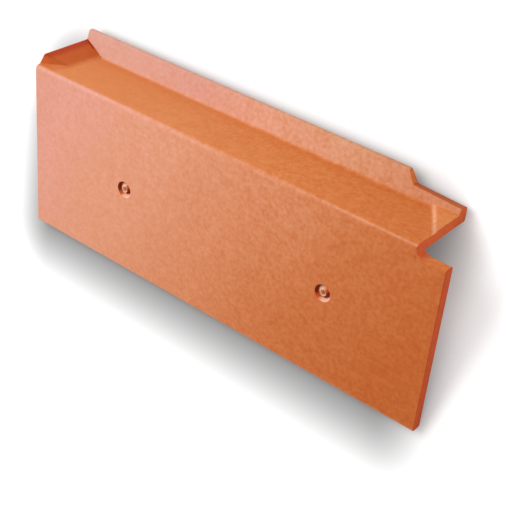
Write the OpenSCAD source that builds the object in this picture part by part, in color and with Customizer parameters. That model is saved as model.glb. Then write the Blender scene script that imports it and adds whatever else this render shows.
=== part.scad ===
// Clay verge tile: one fired angle that caps the sloping edge of a tiled roof.
// The apron hangs over the edge of the roof and is nailed through two holes.
// The flange lies under the roof tiles, with a rim along its back that keeps the rain in its gutter.

/* [Apron] */
// Length of the apron along the roof edge
apron_length = 400; // [320:1:480]
// Height of the apron, from the arris down to its hem
apron_height = 150; // [120:1:200]
// Thickness of the clay in the apron and in the flange
wall = 9; // [8:0.5:12]
// Length of the tab, where the apron runs on past the flange to lap the next tile
tab_length = 25; // [15:1:40]
// Radius of the corner between the tab and the flange's end
notch_radius = 7; // [2:0.5:7.5]

/* [Flange] */
// Width of the flange, from the apron's outer face to the back of the rim
flange_width = 66; // [54:1:90]
// Width of the level land behind the arris, from the apron's face
land_width = 7; // [5.5:0.5:8]
// Fall of the gutter's floor, from the land back to the foot of the rim
gutter_fall = 2.5; // [1:0.25:4]
// Radius of the outer arris, where the apron meets the flange
arris_radius = 4; // [2:0.5:5]
// Radius of the fillet inside the angle
inner_fillet = 6; // [2:0.5:12]
// Radius of the hem's edges and of the flange's lower back edge
edge_radius = 2; // [1:0.25:3]

/* [Rim] */
// Height of the rim above the arris
rim_height = 15; // [13:0.5:20]
// Thickness of the rim at the gutter
rim_base = 11; // [9:0.5:14]
// Thickness of the rim at its top
rim_top = 5; // [4:0.5:7]
// Radius of the rim's top edges
rim_round = 1.75; // [0.5:0.25:1.75]
// Radius of the fillet where the gutter meets the rim
gutter_fillet = 4; // [1:0.5:8]

/* [Lower end] */
// Length of the lowered end of the rim
low_rim_length = 48; // [35:1:70]
// Height of the lowered rim above the arris, at the foot of its step
low_rim_height = 6; // [5:0.25:9]
// Height of the lowered rim above the arris, at the lower end
low_rim_end = 4; // [3:0.25:5]
// Length of the sloping step between the two heights
step_run = 6.5; // [4:0.5:14]
// Angle at which the top of the lowered rim falls to the back
rim_fall = 14; // [5:1:20]
// Length of the weather step along the rim
weather_run = 18; // [10:1:30]
// Distance from the apron's face to the front end of the weather step
weather_front = 26; // [16:1:34]
// Width of the weather step's sloping face
weather_slope = 4; // [2:0.5:6]

/* [Head end] */
// Height of the raised lip above the arris
lip_height = 7; // [5:0.5:9]
// Length of the lip's slope at the level of the arris, with its top
lip_length = 17; // [12:0.5:24]
// Width of the lip's level top
lip_top = 1.5; // [1:0.25:3]
// Distance from the apron's face to the front corner of the lip
hip_front = 4.5; // [4.5:0.25:7.5]
// Angle of the lip's slanting front hip to the length of the tile
hip_angle = 42; // [30:1:60]
// Run of the hip's slope in plan
hip_run = 4; // [3:0.5:8]

/* [Nail holes] */
// Distance from the head end to the first nail hole
first_hole = 105; // [60:1:130]
// Distance between the two nail holes
hole_spacing = 202; // [140:1:220]
// Distance from the arris down to the nail holes
hole_drop = 74; // [60:1:90]
// Diameter of the nail hole
nail_bore = 4.5; // [3:0.1:5.5]
// Diameter of the dish round the nail hole, at the apron's face
dish_mouth = 14; // [12.5:0.5:18]
// Diameter of the dish at its floor
dish_floor = 11.5; // [11:0.25:12]
// Depth of the dish
dish_depth = 3; // [2:0.25:4]
// Diameter of the collar round the nail hole, at the dish's floor
collar_base = 9.5; // [8.5:0.25:10]
// Diameter of the collar at its top
collar_crown = 6; // [5.75:0.25:7]
// Distance that the collar stays below the apron's face
collar_set = 0.6; // [0.3:0.1:1.2]

/* [Hidden] */
$fn = 64;
clay = [0.84, 0.50, 0.34];

// A cut runs this far past the face that it starts from, and an added form is sunk this far
over = 1;

flange_length = apron_length - tab_length;
rim_foot = flange_width - rim_base;
step_start = flange_length - low_rim_length;
step_end = step_start + step_run;

// Unheld, the tile lies on the inner edge of its hem and the lower back edge of its flange
lean = atan2(flange_width - wall, apron_height - wall);
turn = lean - 90;
hem_reach = -cos(lean) * (apron_height - edge_radius) + sin(lean) * edge_radius - edge_radius;
rim_reach = cos(lean) * (rim_height - rim_round) + sin(lean) * (flange_width - rim_round) + rim_round;
seat = edge_radius + cos(lean) * (flange_width - edge_radius) + sin(lean) * (wall - edge_radius);

function unit(v) = v / norm(v);

// The piece of the corner p, between its neighbours a and b, that lies outside an arc of radius r;
// its tip runs on past the corner
module corner_piece(a, p, b, r, past = 0) {
    to_a = unit(a - p);
    to_b = unit(b - p);
    middle = unit(to_a + to_b);
    half = acos(to_a * to_b) / 2;
    difference() {
        polygon([p - middle * past, p + to_a * r / tan(half), p + to_b * r / tan(half)]);
        translate(p + middle * r / sin(half)) circle(r);
    }
}

// A closed outline with rounded corners: each entry is [x, y, radius, hollow], going anticlockwise
module rounded_outline(corners) {
    n = len(corners);
    point = [for (c = corners) [c[0], c[1]]];
    module pieces(hollow)
        for (i = [0:n - 1])
            if (corners[i][2] > 0 && corners[i][3] == hollow)
                corner_piece(
                    point[(i + n - 1) % n], point[i], point[(i + 1) % n], corners[i][2], over
                );
    difference() {
        union() {
            polygon(point);
            pieces(true);
        }
        pieces(false);
    }
}

// Sets an outline drawn across the tile upright and runs it along the roof edge
module run_along(length) rotate([90, 0, 90]) linear_extrude(length) children();

// Sets an outline drawn along the tile upright and runs it to the back
module run_back(length) translate([0, length, 0]) rotate([90, 0, 0]) linear_extrude(length) children();

// The angle itself: apron, flange and rim in one section
module angle_section()
    rounded_outline([
        [0, -apron_height, edge_radius, false],
        [wall, -apron_height, edge_radius, false],
        [wall, -wall, inner_fillet, true],
        [flange_width, -wall, edge_radius, false],
        [flange_width, rim_height, rim_round, false],
        [flange_width - rim_top, rim_height, rim_round, false],
        [rim_foot, -gutter_fall, gutter_fillet, true],
        [land_width, 0, 0, false],
        [0, 0, arris_radius, false],
    ]);

// The tab's section: the apron alone, its top level with the underside of the flange
module tab_section()
    rounded_outline([
        [0, -apron_height, edge_radius, false],
        [wall, -apron_height, edge_radius, false],
        [wall, -wall, edge_radius, false],
        [0, -wall, edge_radius, false],
    ]);

// Clay left in the corner of the notch, between the flange's end and the top of the tab
module notch_corner()
    run_back(wall)
        corner_piece(
            [flange_length, 0], [flange_length, -wall], [apron_length, -wall], notch_radius
        );

// What is cut from the top of the rim to lower it towards the lower end
module rim_step()
    translate([0, flange_width - rim_top, rim_height])
        rotate([-rim_fall, 0, 0])
            translate([0, -rim_base, 0])
                run_back(2 * rim_base + over)
                    polygon([
                        [step_start, 0],
                        [step_end, low_rim_height - rim_height],
                        [flange_length + over, low_rim_end - rim_height],
                        [flange_length + over, rim_height],
                        [step_start, rim_height],
                    ]);

// Corner of the flange's lower end that is level with the arris, so that a slanting step
// turns water in the sloping gutter to the front
module weather_corner() {
    deep = gutter_fall + over;
    along = [weather_run, weather_front - rim_foot];
    reach = norm(along) + flange_width;
    intersection() {
        translate([flange_length - weather_run, rim_foot, 0])
            rotate(atan2(along.y, along.x))
                translate([-reach, 0, 0])
                    run_along(2 * reach)
                        polygon([
                            [-weather_slope * deep / gutter_fall, -deep],
                            [flange_width, -deep],
                            [flange_width, 0],
                            [0, 0],
                        ]);
        translate([step_end, wall, -deep])
            cube([flange_length - step_end, flange_width - rim_top - wall, deep]);
    }
}

// Raised lip that closes the gutter at the head end: one slope runs down into the gutter,
// and a slanting hip runs down to the land; both run on below the gutter's floor
module head_lip() {
    deep = gutter_fall + over;
    foot = lip_length + deep * (lip_length - lip_top) / lip_height;
    reach = flange_width + lip_length;
    intersection() {
        run_back(flange_width - rim_top)
            polygon([[0, -deep], [0, lip_height], [lip_top, lip_height], [foot, -deep]]);
        translate([0, hip_front, 0])
            rotate(hip_angle)
                translate([-reach, 0, 0])
                    run_along(2 * reach)
                        polygon([
                            [-hip_run * deep / lip_height, -deep],
                            [reach, -deep],
                            [reach, lip_height],
                            [hip_run, lip_height],
                        ]);
    }
}

// Places something at each nail hole, pointing from the apron's face into the clay
module at_nail_holes()
    for (i = [0, 1])
        translate([first_hole + i * hole_spacing, 0, -hole_drop]) rotate([-90, 0, 0]) children();

module nail_dish() {
    cylinder(h = dish_depth, d1 = dish_mouth, d2 = dish_floor);
    translate([0, 0, -over]) cylinder(h = over, d = dish_mouth);
}

module nail_collar()
    translate([0, 0, collar_set])
        cylinder(h = dish_depth - collar_set, d1 = collar_crown, d2 = collar_base);

module nail_way() translate([0, 0, -over]) cylinder(h = wall + 2 * over, d = nail_bore);

// The tile as it hangs on the roof: head end at x = 0, apron's face at y = 0, arris at z = 0
module hung_tile()
    difference() {
        union() {
            difference() {
                union() {
                    run_along(flange_length) angle_section();
                    run_along(apron_length) tab_section();
                    notch_corner();
                    head_lip();
                }
                rim_step();
                at_nail_holes() nail_dish();
            }
            weather_corner();
            at_nail_holes() nail_collar();
        }
        at_nail_holes() nail_way();
    }

module verge_tile()
    color(clay)
        translate([-apron_length / 2, -(hem_reach + rim_reach) / 2, seat])
            rotate([turn, 0, 0])
                hung_tile();

verge_tile();
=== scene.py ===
"""Clay verge tile: a fired terracotta angle that caps the sloping edge of a tiled roof.

The tile lies on a pale floor, on the hem of its apron and the lower back edge of its flange.
"""
import math
from types import SimpleNamespace

import bpy
from mathutils import Matrix, Vector


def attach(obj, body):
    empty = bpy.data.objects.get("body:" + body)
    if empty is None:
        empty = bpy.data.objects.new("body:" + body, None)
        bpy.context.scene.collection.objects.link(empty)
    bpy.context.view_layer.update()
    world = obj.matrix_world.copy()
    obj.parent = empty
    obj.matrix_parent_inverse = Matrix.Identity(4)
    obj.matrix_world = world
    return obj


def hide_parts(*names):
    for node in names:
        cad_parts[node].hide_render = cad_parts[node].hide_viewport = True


MM = 0.001

# How the tile lies, seen along it: its arris, and the ways that its faces look
APRON_HEIGHT = 150 * MM
FLANGE_WIDTH = 66 * MM
CLAY_THICKNESS = 9 * MM
LEAN = math.atan2(FLANGE_WIDTH - CLAY_THICKNESS, APRON_HEIGHT - CLAY_THICKNESS)
APRON_FACE = Vector((0, -math.sin(LEAN), math.cos(LEAN)))
GUTTER_FACE = Vector((0, math.cos(LEAN), math.sin(LEAN)))
FLANGE_BACK = Vector((0, math.sin(LEAN), -math.cos(LEAN)))
LOWER_FACE = Vector((1, 0, 0))
ARRIS = Vector((0, 50.17 * MM, 63.96 * MM))
HEAD_END, LOWER_END = -200 * MM, 200 * MM
HEM_Y, RIM_Y, RIM_TOP_Y = -86.6 * MM, 77.4 * MM, 88.3 * MM
NAIL_HOLES = tuple(Vector((x, -18.36 * MM, 36.2 * MM)) for x in (-95 * MM, 107 * MM))
NOTCH = Vector((175 * MM, 47.4 * MM, 57 * MM))

# The rim's foot behind the apron's face, the gutter's depth there, and how far the rim's face
# leans back for its height
RIM_FOOT = 55 * MM
GUTTER_FALL = 2.5 * MM
RIM_LEAN = 6 / 17.5

# The weather step's slope in plan: where its top meets the rim's foot, its turn and its width
WEATHER_START = 157 * MM
WEATHER_TURN = math.atan2(29, 18)
WEATHER_WIDTH = 4 * MM

# Joining of the CAD's loose triangles into flat faces
JOIN_GAP = 1e-6
FLAT_ANGLE = math.radians(0.4)

# Softening of the edges that the press and the cutting wire leave
EDGE_ROUND = 0.8 * MM
HOLE_ROUND = 0.3 * MM
ROUND_SEGMENTS = 3
EDGE_ANGLE = math.radians(50)
HOLE_REACH = 10 * MM
NOTCH_REACH = 14 * MM

# Shading: cuts across the tile, the gap under which their points are joined, and the smoothing
SHADING_CUTS = (-176.5 * MM, -170 * MM, 6 * MM, 124 * MM, 152 * MM)
DOUBLES = 2e-6
SMOOTH_ANGLE = math.radians(31.5)
FACE_WEIGHT = 100

# Colours of the fired clay, linear; those in steps run from the head end to the lower end
# Clay with a painted pink sheen on faces that look the way the apron does: palest at the head end and
# the arris, deeper to the lower end and the hem
FIRING_AND_SHEEN_STEPS = (
    (0.00, (0.705, 0.305, 0.217, 1)),
    (0.09, (0.735, 0.318, 0.232, 1)),
    (0.20, (0.735, 0.306, 0.188, 1)),
    (0.30, (0.735, 0.303, 0.172, 1)),
    (0.55, (0.680, 0.238, 0.103, 1)),
    (0.78, (0.605, 0.167, 0.047, 1)),
    (1.00, (0.548, 0.128, 0.024, 1)),
)
# The rim, with the same painted pink sheen
RIM_STEPS = (
    (0.10, (0.625, 0.320, 0.243, 1)),
    (0.30, (0.640, 0.305, 0.230, 1)),
    (0.50, (0.685, 0.312, 0.193, 1)),
    (0.70, (0.640, 0.290, 0.153, 1)),
    (0.85, (0.610, 0.245, 0.122, 1)),
)
# The gutter, which takes no painted sheen, in a stronger orange
GUTTER_STEPS = (
    (0.10, (0.670, 0.211, 0.062, 1)),
    (0.35, (0.685, 0.221, 0.070, 1)),
    (0.60, (0.685, 0.207, 0.054, 1)),
    (0.90, (0.650, 0.172, 0.036, 1)),
)
# Painted shade: faces that look to the lower end take a deeper red brown
END_SHADE_STEPS = (
    (0.10, (0.560, 0.105, 0.018, 1)),
    (0.50, (0.660, 0.108, 0.021, 1)),
    (0.77, (0.660, 0.108, 0.021, 1)),
    (0.81, (0.740, 0.185, 0.042, 1)),
    (0.85, (0.740, 0.185, 0.042, 1)),
    (0.91, (0.660, 0.108, 0.021, 1)),
    (0.95, (0.660, 0.108, 0.021, 1)),
    (0.98, (0.540, 0.070, 0.011, 1)),
)
# Painted highlight along the arris and the hem
ARRIS_STEPS = (
    (0.05, (0.600, 0.345, 0.300, 1)),
    (0.20, (0.640, 0.390, 0.410, 1)),
    (0.30, (0.630, 0.300, 0.240, 1)),
    (0.50, (0.630, 0.265, 0.160, 1)),
    (0.62, (0.640, 0.255, 0.140, 1)),
    (0.78, (0.715, 0.335, 0.210, 1)),
)
# Painted highlight on the weather step's slope
STEP_HIGHLIGHT = (0.82, 0.35, 0.18, 1)
CORNER_ORANGE = (0.71, 0.235, 0.066, 1)
LOW_RIM_BROWN = (0.50, 0.105, 0.022, 1)
# Painted shade on the lip, darker along its top, and darkest in the crease against the rim
LIP_SHADE = (0.56, 0.105, 0.018, 1)
LIP_DARK = (0.48, 0.052, 0.007, 1)
CREASE_SHADE = (0.36, 0.013, 0.003, 1)
# Painted shade and painted highlight in the nail holes
HOLE_SHADE = (0.15, 0.010, 0.006, 1)
HOLE_HIGHLIGHT = (0.90, 0.54, 0.38, 1)

# Where one colour fades into the next. Along the tile:
LIP_X = (-179 * MM, -183 * MM)
CREASE_X = (-186 * MM, -190 * MM)
PAST_LIP_X = (-160 * MM, -150 * MM)
LOW_RIM_X = (127 * MM, 130 * MM)
LOWER_FLOOR_X = (140 * MM, 150 * MM)
# Across the floor that the tile lies on:
RIM_ACROSS = (RIM_Y - 10 * MM, RIM_Y - 7 * MM)
RIM_TOP_ACROSS = (RIM_TOP_Y - 4 * MM, RIM_TOP_Y - 2 * MM)
# In height above the arris, square to the gutter:
CUT_UP = (-1.8 * MM, -0.4 * MM)
LIP_UP = (-0.4 * MM, 0.5 * MM)
LIP_TOP_UP = (4 * MM, 5.8 * MM)
FLOOR_FROM_UP, FLOOR_TO_UP = (-5 * MM, -4 * MM), (1.5 * MM, 1 * MM)
LOW_RIM_UP = (2 * MM, 3 * MM)
HEM_UP = (-147 * MM, -149 * MM)
# In distance from the rim's face, a nail hole's middle, the arris and the weather step's top:
LIP_GAP = (0.1 * MM, 0.5 * MM)
CREASE_GAP = (2.8 * MM, 0.8 * MM)
HOLE_GAP = (7.6 * MM, 7.2 * MM)
BORE_GAP = (2.7 * MM, 2.4 * MM)
ARRIS_GAP = (1.4 * MM, 2.4 * MM)
CORNER_GAP = (-1 * MM, 1 * MM)
STEP_FADE = 0.8 * MM
# In how squarely a face looks one way:
APRON_LOOK = (0.2, 0.9)
GUTTER_LOOK = (0.6, 0.75)
CUT_LOOK = (0.05, 0.45)
# Painted light and shade in the nail holes go by how squarely a face looks towards this way or away
# from it
HOLE_LIGHT = Vector((-0.75, 0, 0)) + 0.66 * GUTTER_FACE
HOLE_SHADE_LOOK, HOLE_SHADE_SHARE = (-0.1, -0.5), 0.92
HOLE_HIGHLIGHT_LOOK, HOLE_HIGHLIGHT_SHARE = (0.1, 0.5), 0.85
ARRIS_SHARE, HEM_SHARE = 0.6, 0.4

# Clay colour and painted sheen: how far they shift along the tile and down the apron as the painted
# sheen fades, and with the clouds of the kiln
SHEEN_ALONG = (0.0, 0.95)
SHEEN_DOWN = (-0.07, 0.16)
FIRING_CLOUD, SHARE_CLOUD = 0.16, 0.12
# Noise layers: scale, detail and roughness
CLOUD = (16, 3, 0.5)
MOTTLE = (300, 2, 0.5)
BLOTCH = (120, 1, 0.5)
GRAIN = (900, 3, 0.6)
# Sandy grain: the span of the noise that counts, how deep each layer goes, how the grain grows along
# the tile, and how strongly it shows in red, green and blue
NOISE_SPAN = (0.3, 0.7)
MOTTLE_DEPTH, BLOTCH_DEPTH, GRAIN_DEPTH = 0.13, 0.06, 0.05
GRAIN_X, GRAIN_GROWTH = (-120 * MM, 60 * MM), (0.45, 1.0)
GRAIN_GAINS = (0.4, 1.2, 2.2)
# Matte surface
ROUGH_SPAN, ROUGHNESS = (0.2, 0.8), (0.62, 0.82)
SPECULAR = 0.2
RELIEF_GRAIN = 0.35
BUMP_STRENGTH, BUMP_DEPTH = 0.18, 0.6 * MM

# Camera at the photograph's viewing angle
CAMERA_PLACE = Vector((0.4800, 0.2054, 0.7739))
CAMERA_AIM = Vector((0.0339, -0.0196, 0.0253))
CAMERA_UP = Vector((-0.4011, 0.9153, -0.0361))
CAMERA_LENS = 83.0
SENSOR = 36

# Soft boxes: name, place, aim, size and power
SOFT_LIGHTS = (
    ("key_light", (-0.70, 0.30, 1.11), (-0.05, 0, 0.03), 1.1, 14.5),
    ("fill_light", (1.30, 0.10, 0.55), (0.1, 0, 0.03), 0.8, 2.5),
)
# Light of the white room: the camera sees it as plain white
WHITE = (1, 1, 1, 1)
ROOM_LIGHT = 0.5

# Floor, and how much light it adds of its own near the tile and far from it
FLOOR_SIZE = 12
FLOOR_DROP = 0.2 * MM
FLOOR_GREY = (0.92, 0.92, 0.92, 1)
FLOOR_ROUGHNESS = 0.9
FLOOR_LIFT, FAR_LIFT = 0.45, 0.7
FAR_NEAR, FAR_FAR = 0.4, 1.8
# Shade close to the tile
CONTACT_SHADE, CONTACT_LEVEL, CONTACT_SAMPLES = 60 * MM, 0.5, 16
# Soft shade on the floor: middle and half length of its box along the tile and across it, how far
# the box slants to the head end as it goes back from the hem, and how the shade fades outside it
SHADE_BOX = ((-16 * MM, 174 * MM), (-22.6 * MM, 66 * MM))
SHADE_SLANT, SLANT_REACH = 0.28, 80 * MM
SHADE_REACH = 76 * MM
SHADE_LEVEL = 0.28


def select_only(obj):
    """Makes one object the only selected one, and the active one."""
    bpy.ops.object.select_all(action="DESELECT")
    obj.select_set(True)
    bpy.context.view_layer.objects.active = obj


def join_faces():
    """Joins the active object's loose triangles into flat faces, and selects its sharp edges."""
    bpy.ops.object.mode_set(mode="EDIT")
    bpy.ops.mesh.select_all(action="SELECT")
    bpy.ops.mesh.remove_doubles(threshold=JOIN_GAP)
    bpy.ops.mesh.dissolve_limited(angle_limit=FLAT_ANGLE)
    bpy.ops.mesh.select_all(action="DESELECT")
    bpy.ops.mesh.select_mode(type="EDGE")
    bpy.ops.mesh.edges_select_sharp(sharpness=EDGE_ANGLE)
    bpy.ops.object.mode_set(mode="OBJECT")


def round_edges(tile):
    """Rounds the selected edges: less at the narrow rings of the nail holes, and not at the notch."""
    mesh = tile.data
    weights = mesh.attributes.new("bevel_weight_edge", "FLOAT", "EDGE").data
    for edge in mesh.edges:
        if edge.select:
            start, end = (mesh.vertices[index].co for index in edge.vertices)
            middle = (start + end) / 2
            if any((middle - hole).length < HOLE_REACH for hole in NAIL_HOLES):
                weights[edge.index].value = HOLE_ROUND / EDGE_ROUND
            elif (middle - NOTCH).length > NOTCH_REACH:
                weights[edge.index].value = 1
    edges = tile.modifiers.new("edges", "BEVEL")
    edges.width = EDGE_ROUND
    edges.segments = ROUND_SEGMENTS
    edges.limit_method = "WEIGHT"
    edges.use_clamp_overlap = False
    bpy.ops.object.modifier_apply(modifier=edges.name)


def shade(tile):
    """Cuts across the tile, so that the soft shading of the lip and of the steps stays out of the
    long faces beside them, and smooths it."""
    bpy.ops.object.mode_set(mode="EDIT")
    for place in SHADING_CUTS:
        bpy.ops.mesh.select_all(action="SELECT")
        bpy.ops.mesh.bisect(plane_co=(place, 0, 0), plane_no=(1, 0, 0))
    bpy.ops.mesh.select_all(action="SELECT")
    bpy.ops.mesh.remove_doubles(threshold=DOUBLES)
    bpy.ops.mesh.dissolve_degenerate(threshold=DOUBLES)
    bpy.ops.object.mode_set(mode="OBJECT")
    bpy.ops.object.shade_smooth_by_angle(angle=SMOOTH_ANGLE)
    faces = tile.modifiers.new("faces", "WEIGHTED_NORMAL")
    faces.weight = FACE_WEIGHT
    faces.keep_sharp = True
    bpy.ops.object.modifier_apply(modifier=faces.name)


def dress_tile(node):
    """Copies the tile, and softens the copy's edges and shading."""
    select_only(node)
    bpy.ops.object.duplicate()
    tile = bpy.context.active_object
    tile.name = "fired_tile"
    select_only(tile)
    join_faces()
    round_edges(tile)
    shade(tile)
    return tile


class Nodes:
    """Adds and links the nodes of a material or of the world."""

    def __init__(self, owner):
        owner.use_nodes = True
        self.tree = owner.node_tree

    def add(self, kind, **settings):
        node = self.tree.nodes.new(kind)
        for key, value in settings.items():
            setattr(node, key, value)
        return node

    def feed(self, socket, value):
        """Links another socket to this one, or sets it to a constant."""
        if isinstance(value, bpy.types.NodeSocket):
            self.tree.links.new(value, socket)
        else:
            socket.default_value = value

    def math(self, operation, *values):
        node = self.add("ShaderNodeMath", operation=operation)
        for socket, value in zip(node.inputs, values):
            self.feed(socket, value)
        return node.outputs[0]

    def product(self, first, *others):
        for other in others:
            first = self.math("MULTIPLY", first, other)
        return first

    def length(self, a, b):
        """Length of the way that goes a in one direction and b square to it."""
        return self.math("SQRT", self.math("ADD", self.product(a, a), self.product(b, b)))

    def fade(self, value, low, high, to_low=0.0, to_high=1.0, smooth=False):
        """Goes from to_low to to_high while the value goes from low to high."""
        node = self.add("ShaderNodeMapRange", clamp=True)
        node.interpolation_type = "SMOOTHSTEP" if smooth else "LINEAR"
        self.feed(node.inputs["Value"], value)
        for name, number in zip(
            ("From Min", "From Max", "To Min", "To Max"), (low, high, to_low, to_high)
        ):
            node.inputs[name].default_value = number
        return node.outputs["Result"]

    def noise(self, place, scale, detail, roughness):
        node = self.add("ShaderNodeTexNoise")
        self.feed(node.inputs["Vector"], place)
        self.feed(node.inputs["Scale"], scale)
        self.feed(node.inputs["Detail"], detail)
        self.feed(node.inputs["Roughness"], roughness)
        return node.outputs["Fac"]

    def steps(self, value, stops):
        """A colour ramp."""
        node = self.add("ShaderNodeValToRGB")
        self.feed(node.inputs["Fac"], value)
        ramp = node.color_ramp.elements
        for _ in stops[2:]:
            ramp.new(0.5)
        for element, (position, colour) in zip(ramp, stops):
            element.position, element.color = position, colour
        return node.outputs["Color"]

    def split(self, vector):
        node = self.add("ShaderNodeSeparateXYZ")
        self.feed(node.inputs[0], vector)
        return node.outputs

    def join(self, *channels):
        """A colour from its red, green and blue."""
        node = self.add("ShaderNodeCombineColor")
        for socket, value in zip(node.inputs, channels):
            self.feed(socket, value)
        return node.outputs[0]

    def facing(self, vector, direction):
        """How far a vector goes in a direction."""
        node = self.add("ShaderNodeVectorMath", operation="DOT_PRODUCT")
        self.feed(node.inputs[0], vector)
        self.feed(node.inputs[1], direction)
        return node.outputs["Value"]

    def mix(self, amount, a, b, blend="MIX"):
        node = self.add("ShaderNodeMix", data_type="RGBA", blend_type=blend)
        self.feed(node.inputs["Factor"], amount)
        for name, value in (("A", a), ("B", b)):
            socket = next(s for s in node.inputs if s.name == name and s.type == "RGBA")
            self.feed(socket, value)
        return next(s for s in node.outputs if s.type == "RGBA")

    def seen(self):
        """1 for a ray that shows what it meets: from the camera, mirrored or let through."""
        path = self.add("ShaderNodeLightPath")
        seen = path.outputs["Is Camera Ray"]
        for ray in ("Is Glossy Ray", "Is Transmission Ray"):
            seen = self.math("MAXIMUM", seen, path.outputs[ray])
        return seen


def find_places(clay):
    """What the clay's colours go by: where a point lies on the tile, and which way it looks."""
    coords = clay.add("ShaderNodeTexCoord")
    place, normal = coords.outputs["Object"], coords.outputs["Normal"]
    x, y, z = clay.split(place)
    share = clay.fade(x, HEAD_END, LOWER_END)
    cloud = clay.math("SUBTRACT", clay.noise(place, *CLOUD), 0.5)
    up = clay.math("SUBTRACT", clay.facing(place, GUTTER_FACE), ARRIS.dot(GUTTER_FACE))
    to_rim = ARRIS.dot(FLANGE_BACK) + RIM_FOOT
    return SimpleNamespace(
        place=place,
        normal=normal,
        x=x,
        y=y,
        z=z,
        up=up,
        back=clay.math("SUBTRACT", clay.facing(place, FLANGE_BACK), to_rim),
        cloud=cloud,
        share=share,
        cloudy_share=clay.math("ADD", share, clay.math("MULTIPLY", cloud, SHARE_CLOUD)),
        apron_side=clay.fade(clay.facing(normal, APRON_FACE), *APRON_LOOK, smooth=True),
        gutter_side=clay.fade(clay.facing(normal, GUTTER_FACE), *GUTTER_LOOK),
    )


def fire_and_paint_sheen_and_shade(clay, at):
    """Clay colour with painted sheen and painted shade: a pale pink painted sheen on the apron and
    along the rim, strongest at the head end and fading to the lower end and the hem. The gutter,
    without it, keeps a stronger orange, and what looks to the lower end takes a red brown of painted
    shade."""
    drift = clay.math("MULTIPLY", at.cloud, FIRING_CLOUD)
    for part in (
        clay.fade(at.x, HEAD_END, LOWER_END, *SHEEN_ALONG),
        clay.fade(at.y, ARRIS.y, HEM_Y, *SHEEN_DOWN),
    ):
        drift = clay.math("ADD", drift, part)
    colour = clay.steps(drift, FIRING_AND_SHEEN_STEPS)
    rim = clay.steps(at.cloudy_share, RIM_STEPS)
    colour = clay.mix(clay.fade(at.y, *RIM_ACROSS), colour, rim)

    not_gutter = clay.math("MAXIMUM", at.apron_side, clay.fade(at.y, *RIM_TOP_ACROSS))
    colour = clay.mix(not_gutter, clay.steps(at.cloudy_share, GUTTER_STEPS), colour)
    # Painted shade: faces that look to the lower end take a red brown
    lower_side = clay.fade(clay.facing(at.normal, LOWER_FACE), *CUT_LOOK)
    lip_fade = clay.math("MAXIMUM", clay.fade(at.up, *CUT_UP), clay.fade(at.x, *PAST_LIP_X))
    end_shade = clay.steps(at.share, END_SHADE_STEPS)
    return clay.mix(clay.product(lower_side, lip_fade), colour, end_shade)


def paint_lip(clay, at, colour):
    """Painted shade on the lip: it is brown all over, darker along its top, and darkest in the crease
    against the rim.
    """
    lean = clay.math("MULTIPLY", clay.math("ADD", at.up, GUTTER_FALL), RIM_LEAN)
    rim_gap = clay.math("SUBTRACT", lean, at.back)
    lip = clay.product(
        clay.fade(at.x, *LIP_X), clay.fade(rim_gap, *LIP_GAP), clay.fade(at.up, *LIP_UP)
    )
    colour = clay.mix(lip, colour, LIP_SHADE)
    colour = clay.mix(clay.product(lip, clay.fade(at.up, *LIP_TOP_UP)), colour, LIP_DARK)
    crease = clay.product(clay.fade(rim_gap, *CREASE_GAP), clay.fade(at.x, *CREASE_X))
    return clay.mix(clay.product(lip, crease), colour, CREASE_SHADE)


def paint_lower_end(clay, at, colour):
    """The weather step's slope is painted pale, a painted highlight of the light that falls on it;
    the corner behind it is a brighter orange, and the lowered rim's top is painted brown."""
    ahead = clay.math("SUBTRACT", at.x, WEATHER_START)
    past = clay.math(
        "ADD",
        clay.math("MULTIPLY", ahead, math.sin(WEATHER_TURN)),
        clay.math("MULTIPLY", at.back, math.cos(WEATHER_TURN)),
    )
    floor = clay.product(
        clay.fade(at.x, *LOWER_FLOOR_X),
        at.gutter_side,
        clay.fade(at.up, *FLOOR_FROM_UP),
        clay.fade(at.up, *FLOOR_TO_UP),
    )
    corner = clay.product(floor, clay.fade(past, *CORNER_GAP))
    colour = clay.mix(corner, colour, CORNER_ORANGE)
    slope = clay.product(
        clay.fade(past, -WEATHER_WIDTH - STEP_FADE, -WEATHER_WIDTH / 2, smooth=True),
        clay.fade(past, STEP_FADE, -WEATHER_WIDTH / 2, smooth=True),
    )
    colour = clay.mix(clay.product(slope, floor), colour, STEP_HIGHLIGHT)
    low_top = clay.product(
        clay.fade(at.up, *LOW_RIM_UP), clay.fade(at.x, *LOW_RIM_X), at.gutter_side
    )
    return clay.mix(low_top, colour, LOW_RIM_BROWN)


def paint_nail_holes(clay, at, colour):
    """Painted light and shade in the nail holes: what faces the head end and the arris is painted
    pale as a highlight, and so is the bore; what faces the hem is painted dark as shade."""
    sides = [clay.math("ABSOLUTE", clay.math("SUBTRACT", at.x, hole.x)) for hole in NAIL_HOLES]
    level = NAIL_HOLES[0].dot(GUTTER_FACE)
    drop = clay.math("SUBTRACT", clay.facing(at.place, GUTTER_FACE), level)
    gap = clay.length(clay.math("MINIMUM", *sides), drop)
    in_hole = clay.fade(gap, *HOLE_GAP)
    tilt = clay.facing(at.normal, HOLE_LIGHT)
    for look, share, paint in (
        (HOLE_SHADE_LOOK, HOLE_SHADE_SHARE, HOLE_SHADE),
        (HOLE_HIGHLIGHT_LOOK, HOLE_HIGHLIGHT_SHARE, HOLE_HIGHLIGHT),
    ):
        colour = clay.mix(clay.product(in_hole, clay.fade(tilt, *look, 0.0, share)), colour, paint)
    return clay.mix(clay.fade(gap, *BORE_GAP), colour, HOLE_HIGHLIGHT)


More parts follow.
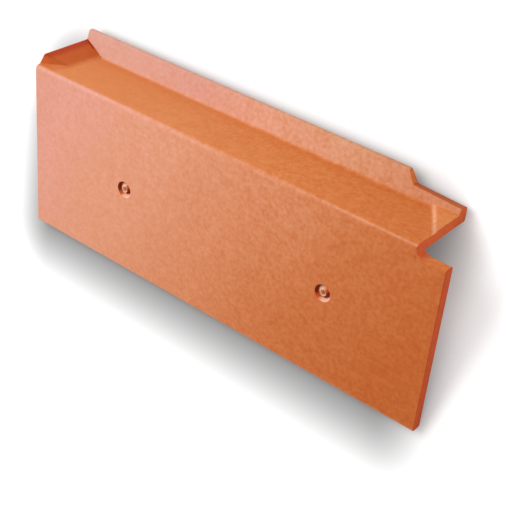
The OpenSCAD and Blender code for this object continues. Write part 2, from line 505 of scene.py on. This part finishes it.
def paint_edge_highlights(clay, at, colour):
    """Painted highlight: the arris and the hem are painted pale, as the light on their rounded edges.
    """
    gap = clay.length(
        clay.math("SUBTRACT", at.y, ARRIS.y), clay.math("SUBTRACT", at.z, ARRIS.z)
    )
    arris = clay.fade(gap, *ARRIS_GAP, ARRIS_SHARE, 0.0, smooth=True)
    hem = clay.product(clay.fade(at.up, *HEM_UP, 0.0, HEM_SHARE), at.apron_side)
    edge_highlight = clay.steps(at.cloudy_share, ARRIS_STEPS)
    return clay.mix(clay.math("MAXIMUM", arris, hem), colour, edge_highlight)


def fired_clay():
    """Matte terracotta: a painted pink sheen at the head end, orange at the lower end, painted shade
    and highlights, sandy grain.
    """
    material = bpy.data.materials.new("fired_clay")
    clay = Nodes(material)
    surface = clay.tree.nodes["Principled BSDF"].inputs
    at = find_places(clay)
    colour = fire_and_paint_sheen_and_shade(clay, at)
    for paint in (paint_lip, paint_lower_end, paint_nail_holes, paint_edge_highlights):
        colour = paint(clay, at, colour)

    # Sandy grain that grows towards the lower end: it shifts the clay between pink and orange
    mottle, blotch, grain = (clay.noise(at.place, *layer) for layer in (MOTTLE, BLOTCH, GRAIN))
    spots = clay.fade(mottle, *NOISE_SPAN, -MOTTLE_DEPTH, MOTTLE_DEPTH)
    for layer, depth in ((blotch, BLOTCH_DEPTH), (grain, GRAIN_DEPTH)):
        spots = clay.math("ADD", spots, clay.fade(layer, *NOISE_SPAN, -depth, depth))
    spots = clay.math("MULTIPLY", spots, clay.fade(at.x, *GRAIN_X, *GRAIN_GROWTH))
    tone = clay.join(
        *(clay.math("ADD", clay.math("MULTIPLY", spots, gain), 1.0) for gain in GRAIN_GAINS)
    )
    clay.feed(surface["Base Color"], clay.mix(1.0, colour, tone, "MULTIPLY"))
    clay.feed(surface["Roughness"], clay.fade(mottle, *ROUGH_SPAN, *ROUGHNESS))
    clay.feed(surface["Specular IOR Level"], SPECULAR)

    bump = clay.add("ShaderNodeBump")
    clay.feed(bump.inputs["Strength"], BUMP_STRENGTH)
    clay.feed(bump.inputs["Distance"], BUMP_DEPTH)
    relief = clay.math("ADD", mottle, clay.math("MULTIPLY", grain, RELIEF_GRAIN))
    clay.feed(bump.inputs["Height"], relief)
    clay.feed(surface["Normal"], bump.outputs["Normal"])
    return material


def lay_floor():
    """A pale floor that shows white to the camera and takes a soft shade round the tile."""
    bpy.ops.object.select_all(action="DESELECT")
    bpy.ops.mesh.primitive_plane_add(size=FLOOR_SIZE, location=(0, 0, -FLOOR_DROP))
    floor = bpy.context.active_object
    floor.name = "studio_floor"
    material = bpy.data.materials.new("studio_floor")
    paper = Nodes(material)
    surface = paper.tree.nodes["Principled BSDF"].inputs

    # Shade that fades with the distance from a slanting box
    x, y, _ = paper.split(paper.add("ShaderNodeTexCoord").outputs["Object"])
    from_hem = paper.math("MINIMUM", paper.math("SUBTRACT", y, HEM_Y), SLANT_REACH)
    slanted = paper.math("ADD", x, paper.math("MULTIPLY", from_hem, SHADE_SLANT))
    outside = []
    for place, (middle, half) in zip((slanted, y), SHADE_BOX):
        reach = paper.math("ABSOLUTE", paper.math("SUBTRACT", place, middle))
        outside.append(paper.math("MAXIMUM", paper.math("SUBTRACT", reach, half), 0.0))
    gap = paper.length(*outside)
    halo = paper.fade(gap, 0.0, SHADE_REACH, SHADE_LEVEL, 1.0, smooth=True)

    near = paper.add("ShaderNodeAmbientOcclusion", samples=CONTACT_SAMPLES)
    paper.feed(near.inputs["Distance"], CONTACT_SHADE)
    level = paper.product(paper.fade(near.outputs["AO"], 0.0, 1.0, CONTACT_LEVEL, 1.0), halo)
    grey = paper.mix(1.0, paper.join(level, level, level), FLOOR_GREY, "MULTIPLY")
    paper.feed(surface["Base Color"], grey)
    paper.feed(surface["Roughness"], FLOOR_ROUGHNESS)
    paper.feed(surface["Specular IOR Level"], 0.0)

    lift = paper.fade(gap, FAR_NEAR, FAR_FAR, FLOOR_LIFT, FAR_LIFT)
    paper.feed(surface["Emission Color"], WHITE)
    paper.feed(surface["Emission Strength"], paper.product(paper.seen(), level, lift))
    floor.data.materials.append(material)


def soft_light(name, place, aim, size, power):
    """A square soft box that looks at a point."""
    bpy.ops.object.light_add(type="AREA", location=place)
    lamp = bpy.context.active_object
    lamp.name = name
    lamp.data.size = size
    lamp.data.energy = power
    lamp.rotation_euler = (Vector(aim) - Vector(place)).to_track_quat("-Z", "Y").to_euler()


def light_studio():
    """Two soft boxes in a white room."""
    for settings in SOFT_LIGHTS:
        soft_light(*settings)
    world = bpy.data.worlds.new("studio")
    bpy.context.scene.world = world
    room = Nodes(world)
    background = room.tree.nodes["Background"].inputs
    room.feed(background["Color"], WHITE)
    room.feed(background["Strength"], room.math("MAXIMUM", room.seen(), ROOM_LIGHT))


def set_camera():
    """A plain camera that looks at the tile's middle, turned as the photograph is."""
    data = bpy.data.cameras.new("camera")
    camera = bpy.data.objects.new("camera", data)
    bpy.context.collection.objects.link(camera)
    data.lens = CAMERA_LENS
    data.sensor_width = SENSOR
    ahead = (CAMERA_AIM - CAMERA_PLACE).normalized()
    right = ahead.cross(CAMERA_UP).normalized()
    top = right.cross(ahead)
    turn = Matrix((right, top, -ahead)).transposed()
    camera.matrix_world = Matrix.Translation(CAMERA_PLACE) @ turn.to_4x4()
    bpy.context.scene.camera = camera


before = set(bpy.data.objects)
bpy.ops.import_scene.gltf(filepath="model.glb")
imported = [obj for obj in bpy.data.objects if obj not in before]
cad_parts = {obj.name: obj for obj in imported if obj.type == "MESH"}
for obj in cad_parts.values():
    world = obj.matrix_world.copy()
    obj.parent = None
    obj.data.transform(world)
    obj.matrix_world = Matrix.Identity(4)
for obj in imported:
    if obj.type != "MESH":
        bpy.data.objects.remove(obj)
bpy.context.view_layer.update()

tile = dress_tile(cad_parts["verge_tile"])
tile.data.materials.clear()
tile.data.materials.append(fired_clay())
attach(tile, "root")
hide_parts("verge_tile")

lay_floor()
light_studio()
set_camera()
bpy.context.scene.view_settings.view_transform = "Standard"
